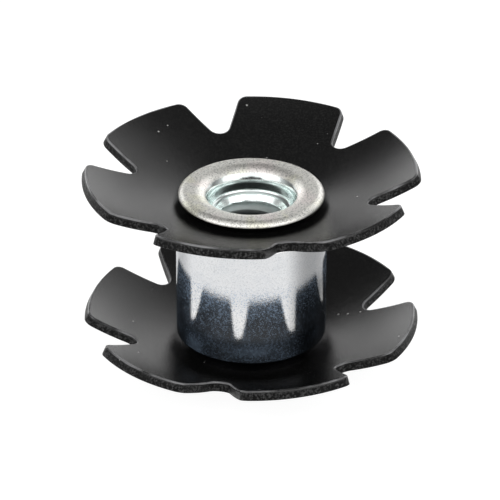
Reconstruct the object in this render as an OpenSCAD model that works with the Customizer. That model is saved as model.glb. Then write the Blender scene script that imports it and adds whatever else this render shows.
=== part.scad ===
// Star nut: two dished spring-steel star washers riveted to a threaded barrel.
// The nut is driven into a tube with its dishes opening upwards. The petal tips
// bite into the wall, and a bolt from above pulls against the thread.
// Origin: on the thread axis, at the foot of the lower lip. +Z up, and +X runs
// through a petal of the upper washer.

/* [Star washers] */
// Diameter over the petal tips
star_d = 25.7; // [24.8:0.1:27]
// Petals on each washer
petals = 6; // [5:1:8]
// Thickness of the spring-steel sheet
sheet_t = 0.75; // [0.5:0.05:1]
// Slope of the cone between the flat seat and the petals, in degrees
cone_angle = 18.5; // [14:0.5:20]
// Inside radius of the bend between the seat and the cone
seat_bend_r = 2; // [1:0.5:3]
// Diameter at which the cone ends and the petals start to curl up
curl_d = 18.6; // [16:0.2:20]
// Inside radius of the curled petals
curl_r = 23.5; // [18:0.5:30]
// Turn of the lower washer against the upper one, in degrees
stagger = 31.5; // [0:0.5:60]

/* [Notches between petals] */
// Depth of a notch along the sheet, from the petal tips to its root
notch_depth = 3.7; // [3:0.05:3.9]
// Angle between each side of a notch and its middle line, in degrees
notch_flare = 27; // [20:1:28]
// Radius of the round root
notch_root_r = 0.85; // [0.5:0.05:1]
// Radius of the petal corners
corner_r = 0.8; // [0.3:0.1:1]

/* [Barrel] */
// Diameter of the barrel between the washers
barrel_d = 11.5; // [11:0.1:12]
// Length of the barrel between its shoulders
barrel_l = 11.25; // [9:0.25:14]
// Width of the bevel on the edges of both shoulders
shoulder_bevel_w = 0.5; // [0.3:0.05:0.6]
// Height of the bevels, along the axis
shoulder_bevel_h = 0.95; // [0.6:0.05:1.2]
// Diameter of the necks that pass through the washers
neck_d = 9; // [8.6:0.1:9.4]
// Radial clearance between a neck and its washer
neck_clearance = 0.03; // [0.01:0.01:0.05]

/* [Riveted lips] */
// Diameter over a lip
lip_d = 11.15; // [10.8:0.05:11.6]
// Thickness of a lip
lip_t = 0.9; // [0.7:0.05:1.1]
// Width of the crown that falls from the flat land to the lip's edge
crown_w = 0.6; // [0.3:0.05:0.6]
// Radius of the crown
crown_r = 0.66; // [0.64:0.02:0.9]
// Diameter of the foot that bears on the washer, inside the undercut
foot_d = 10.5; // [10:0.1:10.6]
// Height of the undercut at the lip's edge
undercut_h = 0.45; // [0.2:0.05:0.5]
// Radius of the mouth, from the lip's land into the counterbore
mouth_r = 1.2; // [0.9:0.1:1.4]

/* [Thread] */
// Diameter of the tapped hole over the thread crests
thread_bore_d = 5; // [4.8:0.05:5.4]
// Diameter of the counterbore at each end of the thread
counterbore_d = 6.4; // [6:0.1:6.8]
// Depth of a counterbore below the top of its lip
counterbore_depth = 1.9; // [1.7:0.05:2.4]
// Radius between the wall and the floor of a counterbore
counterbore_fillet_r = 0.3; // [0.1:0.05:0.35]
// Diameter of the countersink in the counterbore's floor
lead_in_d = 5.6; // [5.4:0.05:5.75]
// Depth of the countersink, down to the thread
lead_in = 0.43; // [0.2:0.01:0.6]

/* [Hidden] */
$fn = 96;
// Small overlap that lets a cutter break through a face
eps = 0.01;
// Straight steps that follow the bend and the curl of the sheet
bend_steps = 4;
curl_steps = 8;

barrel_r = barrel_d / 2;
neck_r = neck_d / 2;
lip_r = lip_d / 2;
foot_r = foot_d / 2;
star_r = star_d / 2;
bore_r = thread_bore_d / 2;
lead_in_r = lead_in_d / 2;
counterbore_r = counterbore_d / 2;

// Heights of the faces that stack up along the axis
lower_seat_z = lip_t;
lower_shoulder_z = lower_seat_z + sheet_t;
upper_shoulder_z = lower_shoulder_z + barrel_l;
upper_seat_z = upper_shoulder_z + sheet_t;
top_z = upper_seat_z + lip_t;

// The seat stays flat past whatever is clamped on it
seat_margin = 0.03;
seat_r = max(barrel_r - shoulder_bevel_w, foot_r) + seat_margin;

// Upper face of the dish: the bend leaves the seat and meets the cone
bend_end = [seat_r + seat_bend_r * sin(cone_angle), seat_bend_r * (1 - cos(cone_angle))];
curl_start_r = max(curl_d / 2, bend_end[0] + eps);
curl_start = [curl_start_r, bend_end[1] + (curl_start_r - bend_end[0]) * tan(cone_angle)];
curl_centre = curl_start + curl_r * [-sin(cone_angle), cos(cone_angle)];
// The tips end square to the sheet, with their lower edge at the full radius
tip_angle = asin((star_r - curl_centre[0]) / (curl_r + sheet_t));
tip_z = curl_centre[1] - (curl_r + sheet_t) * cos(tip_angle);

// The notch outline lies in the plane of the sheet at the tips. Measured in that
// plane, the tip circle has the slant radius of the cone that the tips lie on.
slant_r = star_r / cos(tip_angle);
root_centre = slant_r - notch_depth + notch_root_r;
// The apex is where the two sides of a notch would meet
apex = root_centre - notch_root_r / sin(notch_flare);
// Distance along a side from the apex to where the petal corner begins
side_run = -apex * cos(notch_flare)
    + sqrt(pow(slant_r - corner_r, 2) - pow(corner_r - apex * sin(notch_flare), 2));

// Points of an arc below its centre, from one slope to another
function arc(centre, r, from, to, steps) =
    [for (i = [0 : steps]) let (a = from + (to - from) * i / steps) centre + r * [sin(a), -cos(a)]];

// Point of the notch outline: so far along a side from the apex, and so far off
// that side into the petal
function beside(run, off) =
    [apex + run * cos(notch_flare) - off * sin(notch_flare),
     run * sin(notch_flare) + off * cos(notch_flare)];

// Half section of the dished sheet, with its seat's upper face at height zero
module dish_section() {
    hole_r = neck_r + neck_clearance;
    bend_centre = [seat_r, seat_bend_r];
    polygon(concat(
        [[hole_r, 0]],
        arc(bend_centre, seat_bend_r, 0, cone_angle, bend_steps),
        arc(curl_centre, curl_r, cone_angle, tip_angle, curl_steps),
        arc(curl_centre, curl_r + sheet_t, tip_angle, cone_angle, curl_steps),
        arc(bend_centre, seat_bend_r + sheet_t, cone_angle, 0, bend_steps),
        [[hole_r, -sheet_t]]
    ));
}

// What the corner of a petal loses to its radius
module corner_cut() {
    corner = beside(side_run, corner_r);
    difference() {
        // From the centre of the corner to both of its tangent points, and on past the tips
        polygon([corner,
                 beside(side_run, -eps),
                 beside(side_run + 3 * corner_r, -eps),
                 corner * (1 + 2 * corner_r / norm(corner))]);
        translate(corner) circle(corner_r);
    }
}

// Outline of the gap between two petals, opening along +X
module notch() {
    near = beside(notch_root_r / tan(notch_flare), 0);
    far = beside(2 * star_r, 0);
    translate([root_centre, 0]) circle(notch_root_r);
    polygon([near, far, [far[0], -far[1]], [near[0], -near[1]]]);
    for (side = [0, 1]) mirror([0, side]) corner_cut();
}

// Dished star washer, with its seat's upper face at height zero
module star_washer() {
    cut_h = 8 * sheet_t;
    color([0.06, 0.06, 0.065])
        difference() {
            rotate_extrude() dish_section();
            for (i = [0 : petals - 1])
                rotate((i + 0.5) * 360 / petals)
                    translate([star_r, 0, tip_z])
                        rotate([0, -tip_angle, 0])
                            translate([-slant_r, 0, -cut_h / 2])
                                linear_extrude(cut_h) notch();
        }
}

module upper_star_washer() {
    translate([0, 0, upper_seat_z]) star_washer();
}

module lower_star_washer() {
    translate([0, 0, lower_shoulder_z]) rotate(stagger) star_washer();
}

// Half section of a lip, standing on its seat
module lip_section() {
    intersection() {
        polygon([[0, 0], [foot_r, 0], [lip_r, undercut_h], [lip_r, lip_t + eps], [0, lip_t + eps]]);
        union() {
            square([lip_r - crown_w, lip_t]);
            translate([lip_r - crown_w, lip_t - crown_r]) circle(crown_r);
        }
    }
}

// Half section of one end of the barrel, from the middle to the top
module barrel_end_section() {
    half = top_z / 2;
    shoulder = barrel_l / 2;
    // Body with a bevelled shoulder
    polygon([[0, 0],
             [barrel_r, 0],
             [barrel_r, shoulder - shoulder_bevel_h],
             [barrel_r - shoulder_bevel_w, shoulder],
             [0, shoulder]]);
    // Neck through the washer
    square([neck_r, half]);
    // Lip rolled out over the washer
    translate([0, half - lip_t]) lip_section();
}

// Half section of what is hollow in one end of the barrel
module bore_end_section() {
    half = top_z / 2;
    floor_z = half - counterbore_depth;
    fillet_centre = [counterbore_r, floor_z] + counterbore_fillet_r * [-1, 1];
    square([bore_r, half]);
    polygon([[0, floor_z - lead_in],
             [bore_r, floor_z - lead_in],
             [lead_in_r, floor_z],
             [fillet_centre[0], floor_z],
             [counterbore_r, fillet_centre[1]],
             [counterbore_r, half + eps],
             [0, half + eps]]);
    translate(fillet_centre) circle(counterbore_fillet_r);
    difference() {
        translate([0, half - mouth_r]) square([counterbore_r + mouth_r, mouth_r + eps]);
        translate([counterbore_r + mouth_r, half - mouth_r]) circle(mouth_r);
    }
}

module threaded_barrel() {
    color([0.74, 0.76, 0.78])
        translate([0, 0, top_z / 2])
            rotate_extrude()
                difference() {
                    for (side = [0, 1]) mirror([0, side]) barrel_end_section();
                    for (side = [0, 1]) mirror([0, side]) bore_end_section();
                }
}

threaded_barrel();
upper_star_washer();
lower_star_washer();
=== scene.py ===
import math

import bmesh
import bpy
from mathutils import Matrix, Vector


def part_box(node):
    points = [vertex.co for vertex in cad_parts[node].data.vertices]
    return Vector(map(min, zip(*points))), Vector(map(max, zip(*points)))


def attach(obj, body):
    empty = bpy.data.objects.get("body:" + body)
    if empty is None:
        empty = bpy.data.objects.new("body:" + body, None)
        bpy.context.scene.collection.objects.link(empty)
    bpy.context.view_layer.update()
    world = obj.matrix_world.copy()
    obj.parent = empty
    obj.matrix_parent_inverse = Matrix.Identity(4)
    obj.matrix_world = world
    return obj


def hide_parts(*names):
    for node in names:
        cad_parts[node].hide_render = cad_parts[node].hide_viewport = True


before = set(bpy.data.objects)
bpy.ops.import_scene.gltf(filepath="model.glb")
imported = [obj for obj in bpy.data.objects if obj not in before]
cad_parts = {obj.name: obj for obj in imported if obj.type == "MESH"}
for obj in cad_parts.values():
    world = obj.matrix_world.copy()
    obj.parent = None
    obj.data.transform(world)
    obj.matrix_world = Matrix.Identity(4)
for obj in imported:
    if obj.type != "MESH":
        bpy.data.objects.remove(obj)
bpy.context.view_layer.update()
print("frame loaded:", ", ".join(sorted(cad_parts)))

mm = 0.001  # sizes are written in millimetres, Blender works in metres


class Wire:  # one socket of a tree; sums written with it become Math nodes
    def __init__(self, net, socket):
        self.net = net
        self.socket = socket

    def math(self, operation, *others):
        values = dict(enumerate([self, *others]))
        return self.net.add("ShaderNodeMath", {"operation": operation}, values)

    def out(self, name):  # another outlet of the same node
        return Wire(self.net, self.socket.node.outputs[name])

    def __add__(self, other):
        return self.math("ADD", other)

    def __sub__(self, other):
        return self.math("SUBTRACT", other)

    def __rsub__(self, other):
        return self.net.add("ShaderNodeMath", {"operation": "SUBTRACT"}, {0: other, 1: self})

    def __mul__(self, other):
        return self.math("MULTIPLY", other)

    def __truediv__(self, other):
        return self.math("DIVIDE", other)

    def __rtruediv__(self, other):
        return self.net.add("ShaderNodeMath", {"operation": "DIVIDE"}, {0: other, 1: self})

    __radd__ = __add__
    __rmul__ = __mul__


class Net:  # a node tree while it is being built
    def __init__(self, tree):
        self.tree = tree

    def add(self, kind, settings=None, sockets=None):
        node = self.tree.nodes.new(kind)
        node.location = (180 * len(self.tree.nodes), 0)
        for name, value in (settings or {}).items():
            setattr(node, name, value)
        for name, value in (sockets or {}).items():
            self.plug(self.inlet(node, name), value)
        outlets = [socket for socket in node.outputs if socket.enabled]
        return Wire(self, outlets[0]) if outlets else node

    def inlet(self, node, name):
        if isinstance(name, int):
            return node.inputs[name]
        return next(socket for socket in node.inputs if socket.name == name and socket.enabled)

    def plug(self, socket, value):
        if isinstance(value, Wire):
            self.tree.links.new(value.socket, socket)
        else:
            socket.default_value = value


def startTree(name, inputs):
    tree = bpy.data.node_groups.new(name, "GeometryNodeTree")
    for label, kind in inputs.items():
        tree.interface.new_socket(label, in_out="INPUT", socket_type="NodeSocket" + kind)
    tree.interface.new_socket("Geometry", in_out="OUTPUT", socket_type="NodeSocketGeometry")
    net = Net(tree)
    given = net.add("NodeGroupInput")
    return net, {label: given.out(label) for label in inputs}


def endTree(net, whole, material):
    whole = net.add("GeometryNodeSetMaterial", None, {"Geometry": whole, "Material": material})
    net.add("NodeGroupOutput", None, {"Geometry": whole})
    return net.tree


def runTree(piece, tree, values):  # puts the tree's result in the place of the piece's mesh
    modifier = piece.modifiers.new(tree.name, "NODES")
    modifier.node_group = tree
    for item in tree.interface.items_tree:
        if item.in_out == "INPUT" and item.name in values:
            modifier[item.identifier] = values[item.name]
    piece.update_tag()
    bpy.context.view_layer.update()
    graph = bpy.context.evaluated_depsgraph_get()
    made = bpy.data.meshes.new_from_object(piece.evaluated_get(graph), depsgraph=graph)
    piece.modifiers.remove(modifier)
    piece.data = made


def addObject(name, data):
    thing = bpy.data.objects.new(name, data)
    bpy.context.scene.collection.objects.link(thing)
    return thing


def startMaterial(name):
    material = bpy.data.materials.new(name)
    material.use_nodes = True
    material.node_tree.nodes.clear()
    net = Net(material.node_tree)
    place = net.add("ShaderNodeTexCoord").out("Object")
    grid = net.add("ShaderNodeMapping", None, {"Vector": place, "Scale": (1 / mm, 1 / mm, 1 / mm)})
    return material, net, grid


def surface(net, sockets):
    return net.add("ShaderNodeBsdfPrincipled", None, sockets)


def mixed(net, share, first, second):
    return net.add("ShaderNodeMixShader", None, {0: share, 1: first, 2: second})


def endMaterial(net, shader):
    net.add("ShaderNodeOutputMaterial", None, {"Surface": shader})


def skewed(net, grid):  # turned off the axes, so that no pattern lines up with a face
    return net.add("ShaderNodeMapping", None, {"Vector": grid, "Rotation": (0.7, 0.5, 0.3)})


def noise(net, grid, scale, detail, rough=0.5):
    sockets = {"Vector": skewed(net, grid), "Scale": scale, "Detail": detail, "Roughness": rough}
    return net.add("ShaderNodeTexNoise", None, sockets)


def grains(net, grid, size):  # an unlike value from 0 to 1 for every cell of that size
    sockets = {0: skewed(net, grid), 1: (size, size, size)}
    cells = net.add("ShaderNodeVectorMath", {"operation": "SNAP"}, sockets)
    return net.add("ShaderNodeTexWhiteNoise", None, {"Vector": cells})


def ramp(net, value, low, high, start=0.0, end=1.0):  # smooth step between two levels
    sockets = {"Value": value, "From Min": low, "From Max": high, "To Min": start, "To Max": end}
    return net.add("ShaderNodeMapRange", {"interpolation_type": "SMOOTHSTEP"}, sockets)


def blend(net, factor, first, second):
    sockets = {"Factor": factor, "A": first, "B": second}
    return net.add("ShaderNodeMix", {"data_type": "RGBA"}, sockets)


def bump(net, height, depth, strength=1.0):
    sockets = {"Height": height, "Distance": depth * mm, "Strength": strength}
    return net.add("ShaderNodeBump", None, sockets)


black, white = (0, 0, 0, 1), (1, 1, 1, 1)

paint = {
    "colour": (0.002, 0.002, 0.0021, 1),
    "grainColour": (0.012, 0.012, 0.0115, 1),
    "wornAndHighlightColour": (0.2, 0.2, 0.205, 1),  # where the upper rim is rubbed, and a painted highlight along its rounded edge
    "dustColour": (0.6, 0.6, 0.58, 1),
    "dustScale": 0.8,  # cells to a millimetre, with one speck in each at most
    "roughness": 0.13,
    "grainDepth": 0.018,
    "cutColour": (0.001, 0.001, 0.001, 1),  # in the pits of the punched edge
    "tornColour": (0.05, 0.05, 0.05, 1),  # on its torn grains
    "tornGrain": 0.12,
    "tornDepth": 0.1,
    "cutRoughness": 0.4,
    "cutShine": 0.12,
}


def makePaint():
    material, net, grid = startMaterial("blackPaint")
    cut = net.add("ShaderNodeAttribute", {"attribute_name": "cutFace"}).out("Fac")
    rim = net.add("ShaderNodeAttribute", {"attribute_name": "topRim"}).out("Fac")
    cloudy = noise(net, grid, 0.35, 3.0)
    fine = noise(net, grid, 7.0, 3.0, 0.7)
    # the top rim is lightened for rubbed paint and as a painted highlight
    wornAndHighlight = ramp(net, rim * 0.6 + cloudy * 0.8, 0.86, 1.1)
    colour = blend(net, ramp(net, fine, 0.48, 0.62), paint["colour"], paint["grainColour"])
    colour = blend(net, wornAndHighlight, colour, paint["wornAndHighlightColour"])
    dust = net.add("ShaderNodeTexVoronoi", None, {"Vector": grid, "Scale": paint["dustScale"]})
    speck = ramp(net, dust, 0.085, 0.05) * ramp(net, cloudy, 0.5, 0.56)
    colour = blend(net, speck * 0.8, colour, paint["dustColour"])
    roughness = paint["roughness"] + (cloudy - 0.5) * 0.07 + (fine - 0.5) * 0.1
    normal = bump(net, fine, paint["grainDepth"])
    skin = surface(net, {"Base Color": colour, "Roughness": roughness, "Normal": normal})
    torn = noise(net, grid, 5.0, 3.0, 0.7) * 0.6 + grains(net, grid, paint["tornGrain"]) * 0.4
    cutColour = blend(net, ramp(net, torn, 0.45, 0.75), paint["cutColour"], paint["tornColour"])
    edge = surface(
        net,
        {
            "Base Color": cutColour,
            "Roughness": paint["cutRoughness"],
            "Specular IOR Level": paint["cutShine"],
            "Normal": bump(net, torn, paint["tornDepth"]),
        },
    )
    endMaterial(net, mixed(net, cut, skin, edge))
    return material


zinc = {  # heights from the lower lip's foot
    "colour": (0.76, 0.755, 0.745, 1),
    "roughness": 0.09,
    "grainDepth": 0.004,
    "grainLoss": 0.16,  # how much the plate darkens in its grain
    "shadeFrom": 5.0,  # heights between which painted shade darkens the plate towards the foot
    "shadeTo": 4.0,
    "shadeLoss": 0.75,
    "shadedSides": ((-42.8, 0.8, 0.985, 0.7), (175.2, 0.86, 0.99, 0.5)),  # angle, cosines and loss of painted shade on two sides
    "bevelShadeColour": (0.10, 0.10, 0.11, 1),  # painted shade on the bevel of the lower shoulder
    "bevelTop": 2.6,
    "filmColour": (0.31, 0.42, 0.57, 1),  # blue passivation over the plate
    "filmRoughness": 0.6,
    "filmShine": 0.2,
    "film": 0.04,  # share of the surface that it hides everywhere
    "bandFrom": 6.0,  # height from which it thickens
    "bandTo": 8.3,
    "bandFilm": 0.12,
    "cloudFilm": 0.05,
    "dotSize": 0.11,
    "dotFilm": (0.05, 0.32),  # in its dots everywhere, and what the lower half adds
    "dotFade": 0.15,  # what is left of that at the foot
    "patchTop": 4.4,  # height below which it also lies in patches
    "patchFilm": 0.13,
}


def makeZinc():
    material, net, grid = startMaterial("bodyZinc")
    place = net.add("ShaderNodeSeparateXYZ", None, {"Vector": grid})
    height = place.out("Z")
    speckle = noise(net, grid, 9.0, 2.0, 0.6)
    cloudy = noise(net, grid, 0.6, 3.0, 0.55)
    soft = noise(net, grid, 0.28, 1.0, 0.4)
    bandTo, patchTop = zinc["bandTo"], zinc["patchTop"]
    colour, film = zinc["colour"], zinc["filmColour"]
    lower = ramp(net, height, bandTo + 1, bandTo - 1, 0.85, 1.2)
    # painted shade on two sides of the body, stronger towards the foot
    for angle, low, high, loss in zinc["shadedSides"]:
        a = math.radians(angle)
        along = (place.out("X") * math.cos(a) + place.out("Y") * math.sin(a)) / barrel["radius"]
        paintedShade = ramp(net, along, low, high) * lower * loss
        colour = blend(net, paintedShade, colour, black)
        film = blend(net, paintedShade, film, black)
    # painted shade towards the lower washer
    paintedShade = ramp(net, height, zinc["shadeFrom"], zinc["shadeTo"]) * zinc["shadeLoss"]
    colour = blend(net, paintedShade, colour, black)
    colour = blend(net, ramp(net, speckle, 0.5, 0.3) * zinc["grainLoss"], colour, black)
    # below the bevel's top the plate is painted with shade
    wall = ramp(net, height, zinc["bevelTop"], zinc["bevelTop"] + 0.12)
    plate = surface(
        net,
        {
            "Base Color": blend(net, wall, zinc["bevelShadeColour"], colour),
            "Roughness": zinc["roughness"] + (speckle - 0.5) * 0.12 + (cloudy - 0.5) * 0.06,
            "Metallic": 1.0,
            "Normal": bump(net, speckle, zinc["grainDepth"]),
        },
    )
    haze = surface(
        net,
        {
            "Base Color": film,
            "Roughness": zinc["filmRoughness"],
            "Specular IOR Level": zinc["filmShine"],
        },
    )
    everywhere, below = zinc["dotFilm"]
    below = below * ramp(net, height, bandTo + 1, bandTo)
    below = below * ramp(net, height, patchTop - 1, bandTo, zinc["dotFade"], 1.0)
    amount = zinc["film"] + ramp(net, height, zinc["bandFrom"], bandTo) * zinc["bandFilm"]
    dots = ramp(net, grains(net, grid, zinc["dotSize"]), 0.45, 1.0)
    amount = amount + dots * (below + everywhere)
    amount = amount + ramp(net, cloudy, 0.4, 0.7) * zinc["cloudFilm"]
    patches = ramp(net, height, patchTop, patchTop - 1.2) * ramp(net, soft, 0.4, 0.6)
    amount = (amount + patches * zinc["patchFilm"]) * wall
    endMaterial(net, mixed(net, amount, plate, haze))
    return material


satin = {
    "colour": (0.97, 0.96, 0.91, 1),
    "yellowColour": (0.98, 0.97, 0.83, 1),
    "pinkColour": (0.99, 0.93, 0.90, 1),
    "tealColour": (0.74, 0.82, 0.82, 1),  # inside the ring, down the mouth
    "grainColour": (0.36, 0.36, 0.33, 1),
    "grainDepth": 0.02,
    "mouthRoughness": 0.16,
    "landRoughness": 0.4,
    "landFrom": 3.42,  # radii between which the polish turns satin
    "landTo": 3.58,
    "boreRoughness": 0.6,  # on the thread
    "boreReach": 4.9,  # the thread's end, over the middle of the nut
    "deepFrom": 4.5,  # heights over the middle between which painted shade darkens the thread inwards
    "deepTo": 3.9,
    "underReach": 6.93,  # a lip's widest edge over the middle, below it the undercut takes painted shade
    # painted shade, deep in the thread and under the lips
    "shadeColour": (0.02, 0.02, 0.02, 1),
}


def makeSatin():
    material, net, grid = startMaterial("lipZinc")
    place = net.add("ShaderNodeSeparateXYZ", None, {"Vector": grid})
    x, y = place.out("X"), place.out("Y")
    radius = (x * x + y * y).math("SQRT")
    fromMiddle = (place.out("Z") - barrelMiddle()).math("ABSOLUTE")
    speckle = noise(net, grid, 8.0, 3.0, 0.7)
    cloudy = noise(net, grid, 0.5, 2.0)
    tint = noise(net, grid, 0.35, 1.0)
    land = ramp(net, radius, satin["landFrom"], satin["landTo"])
    bore = ramp(net, fromMiddle, satin["boreReach"] + 0.05, satin["boreReach"] - 0.05)
    deepShade = ramp(net, fromMiddle, satin["deepFrom"], satin["deepTo"])
    underShade = ramp(net, fromMiddle, satin["underReach"] + 0.1, satin["underReach"] - 0.1)
    underShade = underShade * ramp(net, radius, barrel["neck"] - 0.1, barrel["neck"] + 0.1)
    colour = blend(net, ramp(net, cloudy, 0.5, 0.7), satin["colour"], satin["yellowColour"])
    colour = blend(net, ramp(net, tint, 0.5, 0.7), colour, satin["pinkColour"])
    colour = blend(net, (1.0 - land) * 0.8, colour, satin["tealColour"])
    grain = ramp(net, speckle, 0.54, 0.36) * land * 0.7
    colour = blend(net, grain, colour, satin["grainColour"])
    # painted shade deep in the thread
    colour = blend(net, deepShade * 0.75, colour, satin["shadeColour"])
    # painted shade under each lip
    colour = blend(net, underShade, colour, satin["shadeColour"])
    polish = satin["mouthRoughness"]
    roughness = polish + land * (satin["landRoughness"] - polish)
    roughness = roughness + bore * (satin["boreRoughness"] - polish)
    roughness = roughness + (speckle - 0.5) * 0.16
    normal = bump(net, speckle, satin["grainDepth"], land * 0.8 + 0.2)
    sockets = {"Base Color": colour, "Roughness": roughness, "Metallic": 1.0, "Normal": normal}
    endMaterial(net, surface(net, sockets))
    return material


star = {
    "petals": 6,
    "sheet": 0.75,
    "hole": 4.53,  # radius of the hole round the neck
    "seat": 5.28,  # radius of the flat seat
    "bend": 2.0,  # inside radius between seat and cone
    "cone": math.radians(18.5),
    "curlStart": 9.3,  # radius where the petals start to curl
    "curl": 23.5,  # inside radius of the curl
    "tips": 12.85,  # radius over the petal tips
    "notchDepth": 3.7,
    "notchFlare": math.radians(27),
    "notchRoot": 0.85,
    "corner": 0.8,
    "topRound": 0.1,  # rolled edge that the punch leaves on top
    "footRound": 0.05,
    "edgeStrip": 0.35,  # width of the fine rows along a cut edge
    "baseGap": 0.9,  # from the notch roots in to the outermost full ring
    # angle of each washer's first petal from +X
    "turns": {"upper_star_washer": 0.0, "lower_star_washer": math.radians(31.5)},
}


def dishShape():  # runs are measured along the sheet's upper face, from the axis
    cone, curl, sheet = star["cone"], star["curl"], star["sheet"]
    bendEnd = star["seat"] + star["bend"] * math.sin(cone)
    coneRun = (star["curlStart"] - bendEnd) / math.cos(cone)
    coneTop = star["bend"] * (1 - math.cos(cone)) + coneRun * math.sin(cone)
    centre = (star["curlStart"] - curl * math.sin(cone), coneTop + curl * math.cos(cone))
    tipAngle = math.asin((star["tips"] - centre[0]) / (curl + sheet))
    curlFrom = star["seat"] + star["bend"] * cone + coneRun
    return {
        "coneRun": coneRun,
        "centre": centre,
        "curlFrom": curlFrom,
        "tipAngle": tipAngle,
        "tipHeight": centre[1] - (curl + sheet) * math.cos(tipAngle),
        "tipRun": curlFrom + curl * (tipAngle - cone),
        "slant": star["tips"] / math.cos(tipAngle),
    }


def notchOutline(dish):  # half a notch, from the middle of its root to the petal tip
    flare, root, corner = star["notchFlare"], star["notchRoot"], star["corner"]
    slant, steps = dish["slant"], 9
    rootCentre = slant - star["notchDepth"] + root
    apex = rootCentre - root / math.sin(flare)
    sideRun = -apex * math.cos(flare) + math.sqrt(
        (slant - corner) ** 2 - (corner - apex * math.sin(flare)) ** 2
    )

    def beside(run, off):  # so far along the notch's side, and so far off it
        return (
            apex + run * math.cos(flare) - off * math.sin(flare),
            run * math.sin(flare) + off * math.cos(flare),
        )

    def arc(x, y, radius, start, end):
        angles = [start + (end - start) * i / steps for i in range(steps + 1)]
        return [(x + radius * math.cos(a), y + radius * math.sin(a)) for a in angles]

    near = root / math.tan(flare)
    x, y = beside(sideRun, corner)
    outline = arc(rootCentre, 0, root, math.pi, math.pi / 2 + flare)
    outline += [beside(near + (sideRun - near) * i / steps, 0) for i in range(1, steps)]
    outline += arc(x, y, corner, flare - math.pi / 2, math.atan2(y, x))
    return outline


def ontoSheet(dish, along, across):  # from the notch's plane to the blank: run and angle
    lean, reach = dish["tipAngle"], star["curl"] + star["sheet"] / 2
    centreRadius, centreHeight = dish["centre"]
    along -= dish["slant"]
    rise = 0.0
    for step in range(30):  # climbs square to the plane until it meets the sheet
        x = star["tips"] + along * math.cos(lean) - rise * math.sin(lean)
        height = dish["tipHeight"] + along * math.sin(lean) + rise * math.cos(lean)
        outwards = math.hypot(x, across) - centreRadius
        rise += math.hypot(outwards, height - centreHeight) - reach
    slope = math.atan2(outwards, centreHeight - height)
    run = dish["curlFrom"] + star["curl"] * (slope - star["cone"])
    return min(run, dish["tipRun"]), math.atan2(across, x)


def petalOutline(dish):  # points and inward normals of one petal of the flat blank
    half = math.pi / star["petals"]
    side = [ontoSheet(dish, *point) for point in notchOutline(dish)]
    side = [(run, angle - half) for run, angle in side]
    side[0] = (side[0][0], -half)
    tipSteps = 12
    tip = [(dish["tipRun"], side[-1][1] * (1 - i / tipSteps)) for i in range(1, tipSteps + 1)]
    polar = side + tip
    polar += [(run, -angle) for run, angle in reversed(polar[:-1])]
    points = [Vector((run * math.cos(angle), run * math.sin(angle))) for run, angle in polar]
    normals = []
    for i, point in enumerate(points):
        if i in (0, len(points) - 1):
            normals.append(-point.normalized())  # the root's middle faces the axis
        else:
            before = (point - points[i - 1]).normalized()
            after = (points[i + 1] - point).normalized()
            along = (before + after).normalized()
            normals.append(Vector((-along.y, along.x)))
    return polar, points, normals


def edgeProfile():  # how far in from the outline and how far down, round a cut edge
    top, foot, sheet, strip = star["topRound"], star["footRound"], star["sheet"], star["edgeStrip"]
    quarter = [math.pi / 2 * i / 4 for i in range(5)]
    profile = [(strip, 0.0), (0.2, 0.0)]
    profile += [(top * (1 - math.sin(a)), top * (1 - math.cos(a))) for a in quarter]
    profile += [(0.0, sheet * share) for share in (0.35, 0.45, 0.75)]
    profile += [(foot * (1 - math.cos(a)), sheet - foot * (1 - math.sin(a))) for a in quarter]
    return profile + [(0.2, sheet), (strip, sheet)]


def punchPetal():  # one petal of the blank, flat, with its thickness and its cut edge
    dish = dishShape()
    profile = edgeProfile()
    polar, points, normals = petalOutline(dish)
    seat, sheet = star["seat"], star["sheet"]
    bendEnd = seat + star["bend"] * star["cone"]
    baseRun = min(run for run, angle in polar) - star["baseGap"]
    rings = [star["hole"], star["hole"] + 0.1, seat - 0.1]
    rings += [seat + (bendEnd - seat) * i / 8 for i in range(9)]
    rings += [bendEnd + (baseRun - bendEnd) * i / 6 for i in range(1, 7)]
    shares = [0.2, 0.4, 0.6, 0.8]  # of the way from the last ring to the outline

    # angles on the rings: halfway between even steps and the angles on the outline
    half = math.pi / star["petals"]
    lengths = [0.0]
    for i in range(1, len(points)):
        lengths.append(lengths[-1] + (points[i] - points[i - 1]).length)
    even = [half * (2 * length / lengths[-1] - 1) for length in lengths]
    spread = [0.5 * (angle + step) for (run, angle), step in zip(polar, even)]

    def ringRow(run, depth):
        return [Vector((run * math.cos(a), run * math.sin(a), -depth)) for a in spread]

    def insetRow(inset, depth):
        return [(p + n * inset).to_3d() - Vector((0, 0, depth)) for p, n in zip(points, normals)]

    def betweenRow(share, depth):
        inner, outer = ringRow(baseRun, depth), insetRow(star["edgeStrip"], depth)
        return [a.lerp(b, share) for a, b in zip(inner, outer)]

    rows = [ringRow(run, 0) for run in rings] + [betweenRow(share, 0) for share in shares]
    firstEdge = len(rows)
    rows += [insetRow(inset, depth) for inset, depth in profile]
    rows += [betweenRow(share, sheet) for share in reversed(shares)]
    rows += [ringRow(run, sheet) for run in reversed(rings)]
    width = len(points)
    cut, rim = [0.0] * width * len(rows), [0.0] * width * len(rows)
    for k, (inset, depth) in enumerate(profile, firstEdge):
        if star["topRound"] < depth < sheet:
            cut[k * width : (k + 1) * width] = [1.0] * width
        if depth <= star["topRound"] and inset <= star["topRound"]:
            rim[k * width : (k + 1) * width] = [1.0] * width
    faces = []
    for k in range(len(rows)):
        row, after = k * width, (k + 1) % len(rows) * width
        faces += [(row + i, after + i, after + i + 1, row + i + 1) for i in range(width - 1)]
    mesh = bpy.data.meshes.new("petalBlank")
    mesh.from_pydata([point * mm for row in rows for point in row], [], faces)
    for name, values in (("cutFace", cut), ("topRim", rim)):
        layer = mesh.attributes.new(name, "FLOAT", "POINT")
        layer.data.foreach_set("value", values)
    mesh.shade_smooth()
    return mesh


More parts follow.
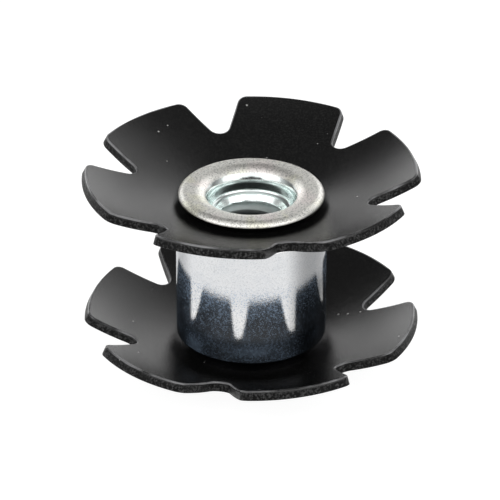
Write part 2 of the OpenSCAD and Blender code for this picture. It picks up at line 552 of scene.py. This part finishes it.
def buildPress():  # repeats the petal round the axis, then dishes the flat star
    net, given = startTree(
        "pressStar",
        {
            "Geometry": "Geometry",
            "Petals": "Int",
            "Turn": "Float",
            "Seat Height": "Float",
            "Seat Radius": "Float",
            "Bend Radius": "Float",
            "Cone Angle": "Float",
            "Cone Run": "Float",
            "Curl Radius": "Float",
            "Material": "Material",
        },
    )
    spots = net.add("GeometryNodeMeshLine", None, {"Count": given["Petals"], "Offset": (0, 0, 0)})
    index = net.add("GeometryNodeInputIndex")
    angle = given["Turn"] + index * (2 * math.pi / given["Petals"])
    euler = net.add("ShaderNodeCombineXYZ", None, {"Z": angle})
    rotation = net.add("FunctionNodeEulerToRotation", None, {"Euler": euler})
    copies = net.add(
        "GeometryNodeInstanceOnPoints",
        None,
        {"Points": spots, "Instance": given["Geometry"], "Rotation": rotation},
    )
    whole = net.add("GeometryNodeRealizeInstances", None, {"Geometry": copies})
    sockets = {"Geometry": whole, "Distance": 0.002 * mm}
    whole = net.add("GeometryNodeMergeByDistance", None, sockets)
    position = net.add("GeometryNodeInputPosition")
    place = net.add("ShaderNodeSeparateXYZ", None, {"Vector": position})
    x, y, z = place.out("X"), place.out("Y"), place.out("Z")
    run = (x * x + y * y).math("SQRT")
    seat, bend, cone = given["Seat Radius"], given["Bend Radius"], given["Cone Angle"]
    coneRun, curl = given["Cone Run"], given["Curl Radius"]
    bent = ((run - seat) / bend).math("MAXIMUM", 0.0).math("MINIMUM", cone)
    onCone = (run - seat - bend * cone).math("MAXIMUM", 0.0).math("MINIMUM", coneRun)
    curled = ((run - seat - bend * cone - coneRun) / curl).math("MAXIMUM", 0.0)
    slope = bent + curled
    radius = run.math("MINIMUM", seat) + bend * bent.math("SINE") + onCone * cone.math("COSINE")
    radius = radius + curl * ((cone + curled).math("SINE") - cone.math("SINE"))
    height = bend * (1.0 - bent.math("COSINE")) + onCone * cone.math("SINE")
    height = height + curl * (cone.math("COSINE") - (cone + curled).math("COSINE"))
    radius = radius - z * slope.math("SINE")
    height = height + z * slope.math("COSINE") + given["Seat Height"]
    sockets = {"X": x / run * radius, "Y": y / run * radius, "Z": height}
    pressed = net.add("ShaderNodeCombineXYZ", None, sockets)
    whole = net.add("GeometryNodeSetPosition", None, {"Geometry": whole, "Position": pressed})
    return endTree(net, whole, given["Material"])


def makeStar(node, blank, press, material):
    dish = dishShape()
    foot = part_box(node)[0].z
    piece = addObject(node.replace("_star_washer", "StarWasher"), blank)
    runTree(
        piece,
        press,
        {
            "Petals": star["petals"],
            "Turn": star["turns"][node],
            "Seat Height": foot + star["sheet"] * mm,
            "Seat Radius": star["seat"] * mm,
            "Bend Radius": star["bend"] * mm,
            "Cone Angle": star["cone"],
            "Cone Run": dish["coneRun"] * mm,
            "Curl Radius": star["curl"] * mm,
            "Material": material,
        },
    )
    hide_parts(node)
    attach(piece, "root")
    return piece


barrel = {
    "radius": 5.75,
    "length": 11.25,
    "bevelWidth": 0.5,  # on the shoulder's edge
    "bevelHeight": 0.95,
    "bevelRound": 0.15,
    "neck": 4.5,
    "lip": 5.575,
    "lipThick": 0.9,
    "crown": 0.66,  # radius of the lip's domed top
    "crownWidth": 0.6,
    "foot": 5.25,  # radius where the undercut lip stands on the washer
    "undercut": 0.45,
    "lipRound": 0.05,
    "mouthRound": 1.2,
    "counterbore": 3.2,
    "counterboreDepth": 1.9,
    "fillet": 0.3,  # between the counterbore's wall and its floor
    "leadIn": 2.8,  # radius of the countersink in that floor
    "leadInDepth": 0.43,
    "crest": 2.5,  # radius over the thread's crests
    "root": 3.0,  # radius in the thread's roots
    "pitch": 1.0,
    "threadStart": 0.764,  # where the thread runs out, as a share of a turn
    "segments": 192,
    "ringsPerPitch": 16,
    "sharpFrom": math.radians(35),  # edges sharper than this aren't shaded smooth
}


def barrelMiddle():
    low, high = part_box("threaded_barrel")
    return (low.z + high.z) / 2 / mm


def buildTap():  # a sheet of points wound into a right-hand thread, countersunk at both ends
    net, given = startTree(
        "tapThread",
        {
            "Geometry": "Geometry",
            "Segments": "Int",
            "Rings": "Int",
            "Rings Per Pitch": "Float",
            "Pitch": "Float",
            "Start Angle": "Float",
            "Bottom": "Float",
            "Top": "Float",
            "Crest Radius": "Float",
            "Root Radius": "Float",
            "Countersink Radius": "Float",
            "Countersink Depth": "Float",
            "Material": "Material",
        },
    )
    rings, segments = given["Rings"], given["Segments"]
    grid = net.add(
        "GeometryNodeMeshGrid",
        None,
        {
            "Size X": rings - 1.0,
            "Size Y": segments,
            "Vertices X": rings,
            "Vertices Y": segments + 1.0,
        },
    )
    position = net.add("GeometryNodeInputPosition")
    place = net.add("ShaderNodeSeparateXYZ", None, {"Vector": position})
    ring = (place.out("X") + (rings - 1.0) * 0.5).math("ROUND") / given["Rings Per Pitch"]
    turn = place.out("Y") / segments + 0.5
    pitch, crest, root = given["Pitch"], given["Crest Radius"], given["Root Radius"]
    height = given["Bottom"] + (ring + turn - 1.0) * pitch
    height = height.math("MAXIMUM", given["Bottom"]).math("MINIMUM", given["Top"])
    fromRoot = (ring.math("FRACT") - 0.5).math("ABSOLUTE")  # in pitches
    # the root is flat for an eighth of a pitch and the crest for a quarter
    depth = ((0.375 - fromRoot) / 0.3125).math("MAXIMUM", 0.0).math("MINIMUM", 1.0)
    fromEnd = (given["Top"] - height).math("MINIMUM", height - given["Bottom"])
    sunk = given["Countersink Depth"]
    begun = ((fromEnd - sunk) / (pitch * 0.3)).math("MAXIMUM", 0.0).math("MINIMUM", 1.0)
    radius = crest + (root - crest) * depth * begun
    flare = given["Countersink Radius"] - crest
    sink = given["Countersink Radius"] - flare * (fromEnd / sunk)
    radius = radius.math("MAXIMUM", sink)
    angle = turn * (2 * math.pi) + given["Start Angle"]
    wound = net.add(
        "ShaderNodeCombineXYZ",
        None,
        {"X": radius * angle.math("COSINE"), "Y": radius * angle.math("SINE"), "Z": height},
    )
    whole = net.add("GeometryNodeSetPosition", None, {"Geometry": grid, "Position": wound})
    sockets = {"Geometry": whole, "Distance": 0.003 * mm}
    whole = net.add("GeometryNodeMergeByDistance", None, sockets)
    return endTree(net, whole, given["Material"])


def arcPoints(r, z, radius, start, end, steps):  # tilts in degrees, 0 faces up and 90 outwards
    tilts = [math.radians(start + (end - start) * i / steps) for i in range(steps + 1)]
    return [(r + radius * math.sin(t), z + radius * math.cos(t)) for t in tilts]


def endProfile():  # turned profile of one end, from the counterbore's floor out to the body
    radius, neck, foot, lip = barrel["radius"], barrel["neck"], barrel["foot"], barrel["lip"]
    crown, mouth, fillet = barrel["crown"], barrel["mouthRound"], barrel["fillet"]
    lipRound, bevelRound = barrel["lipRound"], barrel["bevelRound"]
    bevelWidth, bevelHeight = barrel["bevelWidth"], barrel["bevelHeight"]
    counterbore = barrel["counterbore"]
    shoulder = barrel["length"] / 2
    seat = shoulder + star["sheet"]
    top = seat + barrel["lipThick"]
    floor = top - barrel["counterboreDepth"]
    crownStart = lip - barrel["crownWidth"]
    reach = lip - lipRound - crownStart
    rise = math.sqrt((crown - lipRound) ** 2 - reach**2)
    edgeTilt = math.degrees(math.atan2(reach, rise))
    bevelTilt = math.degrees(math.atan2(bevelHeight, bevelWidth))
    roundDrop = bevelHeight + bevelRound * math.tan(math.radians(45 - bevelTilt / 2))

    profile = [(barrel["leadIn"], floor)]
    profile += arcPoints(counterbore - fillet, floor + fillet, fillet, 180, 90, 10)
    profile += arcPoints(counterbore + mouth, top - mouth, mouth, -90, 0, 24)
    profile += [(crownStart - 0.15, top)]
    profile += arcPoints(crownStart, top - crown, crown, 0, edgeTilt, 14)
    profile += arcPoints(lip - lipRound, top - crown + rise, lipRound, edgeTilt, 90, 4)[1:]
    profile += arcPoints(lip - lipRound, seat + barrel["undercut"], lipRound, 90, 126, 4)
    profile += [(foot, seat), (neck, seat), (neck, shoulder), (radius - bevelWidth, shoulder)]
    profile += arcPoints(radius - bevelRound, shoulder - roundDrop, bevelRound, bevelTilt, 90, 5)
    return profile + [(radius, shoulder * 0.5)]


def turnProfile(profile, middle, count):  # a tube of quads round the axis
    vertices, faces = [], []
    for r, z in profile:
        for j in range(count):
            a = 2 * math.pi * j / count
            vertices.append((r * mm * math.cos(a), r * mm * math.sin(a), (z + middle) * mm))
    for k in range(len(profile) - 1):
        row, above = k * count, (k + 1) * count
        for j in range(count):
            after = (j + 1) % count
            faces.append((row + j, row + after, above + after, above + j))
    mesh = bpy.data.meshes.new("threadedBarrel")
    mesh.from_pydata(vertices, [], faces)
    return mesh


def makeBarrel(tap, body, lips):
    middle, count = barrelMiddle(), barrel["segments"]
    ringsPerPitch = barrel["ringsPerPitch"]
    end = endProfile()
    floorRadius, boreHalf = end[0]
    profile = end + [(barrel["radius"], 0.0)] + [(r, -z) for r, z in reversed(end)]
    piece = addObject("threadedBarrel", turnProfile(profile, middle, count))
    thread = addObject("thread", bpy.data.meshes.new("thread"))
    runTree(
        thread,
        tap,
        {
            "Segments": count,
            "Rings": math.ceil((2 * boreHalf / barrel["pitch"] + 1) * ringsPerPitch) + 1,
            "Rings Per Pitch": float(ringsPerPitch),
            "Pitch": barrel["pitch"] * mm,
            "Start Angle": 2 * math.pi * round(count * barrel["threadStart"]) / count,
            "Bottom": (middle - boreHalf) * mm,
            "Top": (middle + boreHalf) * mm,
            "Crest Radius": barrel["crest"] * mm,
            "Root Radius": barrel["root"] * mm,
            "Countersink Radius": floorRadius * mm,
            "Countersink Depth": barrel["leadInDepth"] * mm,
            "Material": lips,
        },
    )
    shell = bmesh.new()
    shell.from_mesh(piece.data)
    shell.from_mesh(thread.data)
    bmesh.ops.remove_doubles(shell, verts=shell.verts, dist=0.002 * mm)
    bmesh.ops.recalc_face_normals(shell, faces=shell.faces)
    for face in shell.faces:  # the body's wall and shoulders, or else the lips and the bore
        centre = face.calc_center_median() / mm
        wide = math.hypot(centre.x, centre.y) > barrel["neck"] - 0.1
        between = abs(centre.z - middle) < barrel["length"] / 2 + 0.01
        face.material_index = 0 if wide and between else 1
        face.smooth = True
    shell.to_mesh(piece.data)
    shell.free()
    bpy.data.objects.remove(thread)
    piece.data.set_sharp_from_angle(angle=barrel["sharpFrom"])
    piece.data.materials.append(body)
    piece.data.materials.append(lips)
    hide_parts("threaded_barrel")
    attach(piece, "root")
    return piece


shot = {
    "azimuth": math.radians(-14.8),  # turn of the camera round the object
    "elevation": math.radians(28.78),
    "distance": 290.14,
    "lens": 273.1,
    "aim": (0.0, 0.0, 8.67),
    "slide": (-0.095, 0.5475),  # to the right and up
    "roll": math.radians(0.1075),
}


def levelAxes():  # to the camera's right, and level ahead of it
    a = shot["azimuth"]
    return Vector((math.cos(a), math.sin(a), 0)), Vector((-math.sin(a), math.cos(a), 0))


def makeCamera():
    right, ahead = levelAxes()
    forward = ahead * math.cos(shot["elevation"]) - Vector((0, 0, math.sin(shot["elevation"])))
    up = right.cross(forward)
    slide = right * shot["slide"][0] + up * shot["slide"][1]
    spot = Vector(shot["aim"]) + slide - forward * shot["distance"]
    c, s = math.cos(shot["roll"]), math.sin(shot["roll"])
    across, upright = right * c + up * s, up * c - right * s
    turn = Matrix((across, upright, -forward)).transposed().to_4x4()
    data = bpy.data.cameras.new("camera")
    data.lens = shot["lens"]
    data.sensor_width = 36
    data.clip_start = 0.01
    data.clip_end = 10
    camera = addObject("camera", data)
    camera.matrix_world = Matrix.Translation(spot * mm) @ turn
    bpy.context.scene.camera = camera


studio = {
    "reach": 500,  # from the nut to each lamp
    "aim": 8,  # height that the lamps point at
    # direction, height, width and tallness in degrees, and glow; direction 0 is behind the nut
    # and 90 on its right
    "boxes": {
        "leftKeyBox": (-127, 33, 46, 34, 0.9),
        "rightKeyBox": (127, 33, 46, 34, 0.9),
    },
    # the same with soft edges, whose width stands before the glow; a negative glow darkens
    "screens": {
        "backBand": (0, 10, 96, 37, 14, 0.84),
        "backFoot": (18, 10, 28, 16, 8, 0.3),
        "rightBack": (41, 27, 44, 39, 12, 0.95),
        "leftBack": (-36, 14, 34, 24, 12, 1.4),
        "cameraGap": (180, 6, 56, 30, 12, -1.4),
        "cameraTop": (180, 23, 14, 14, 8, -0.9),
    },
    "ceiling": (0.14, 1.35),  # glow all round, from behind the nut to the camera's side
    "floorReach": 2000,
    "floorGlow": 0.92,
    "floorColour": (0.25, 0.25, 0.25, 1),
}


def makeSoftboxes():
    right, ahead = levelAxes()
    reach = studio["reach"] * mm
    for name, (azimuth, elevation, wide, tall, glow) in studio["boxes"].items():
        a, e = math.radians(azimuth), math.radians(elevation)
        level = ahead * math.cos(a) + right * math.sin(a)
        towards = level * math.cos(e) + Vector((0, 0, math.sin(e)))
        data = bpy.data.lights.new(name, "AREA")
        data.shape = "RECTANGLE"
        data.size = 2 * reach * math.tan(math.radians(wide / 2))
        data.size_y = 2 * reach * math.tan(math.radians(tall / 2))
        data.energy = glow * math.pi * data.size * data.size_y
        light = addObject(name, data)
        light.location = towards * reach + Vector((0, 0, studio["aim"] * mm))
        light.rotation_euler = towards.to_track_quat("Z", "Y").to_euler()


def makeFloor():
    reach = studio["floorReach"] * mm
    corners = [(-reach, -reach, 0), (reach, -reach, 0), (reach, reach, 0), (-reach, reach, 0)]
    data = bpy.data.meshes.new("floor")
    data.from_pydata(corners, [], [(0, 1, 2, 3)])
    material, net, grid = startMaterial("paleFloor")
    shader = surface(
        net,
        {
            "Base Color": studio["floorColour"],
            "Roughness": 0.9,
            "Emission Color": white,
            "Emission Strength": studio["floorGlow"],
            "Specular IOR Level": 0.0,
        },
    )
    endMaterial(net, shader)
    data.materials.append(material)
    floor = addObject("floor", data)


def makeWorld():
    right, ahead = levelAxes()
    world = bpy.data.worlds.new("studio")
    world.use_nodes = True
    world.node_tree.nodes.clear()
    net = Net(world.node_tree)
    towards = net.add("ShaderNodeTexCoord").out("Generated")

    def reach(direction):
        sockets = {0: towards, 1: direction}
        return net.add("ShaderNodeVectorMath", {"operation": "DOT_PRODUCT"}, sockets)

    back, side, up = reach(ahead), reach(right), reach(Vector((0, 0, 1)))
    azimuth = side.math("ARCTAN2", back) * (180 / math.pi)
    elevation = up.math("ARCSINE") * (180 / math.pi)
    level = ramp(net, back, 0.5, -0.95, *studio["ceiling"])
    for middle, height, wide, tall, soft, glow in studio["screens"].values():
        across = (azimuth - middle).math("ABSOLUTE")
        across = across.math("MINIMUM", 360.0 - across)
        above = (elevation - height).math("ABSOLUTE")
        inside = ramp(net, across, (wide + soft) / 2, (wide - soft) / 2)
        inside = inside * ramp(net, above, (tall + soft) / 2, (tall - soft) / 2)
        level = level + inside * glow
    level = level.math("MAXIMUM", 0.0)
    sky = net.add("ShaderNodeBackground", None, {"Color": white, "Strength": level})
    net.add("ShaderNodeOutputWorld", None, {"Surface": sky})
    bpy.context.scene.world = world


makeCamera()
makeFloor()
makeWorld()
makeSoftboxes()
bpy.context.scene.view_settings.view_transform = "Standard"
print("studio ready")

paintMaterial, zincMaterial, satinMaterial = makePaint(), makeZinc(), makeSatin()
print("materials ready")

blank, press = punchPetal(), buildPress()
for node in star["turns"]:
    piece = makeStar(node, blank, press, paintMaterial)
    print(piece.name, "made with", len(piece.data.polygons), "faces")
piece = makeBarrel(buildTap(), zincMaterial, satinMaterial)
print(piece.name, "made with", len(piece.data.polygons), "faces")
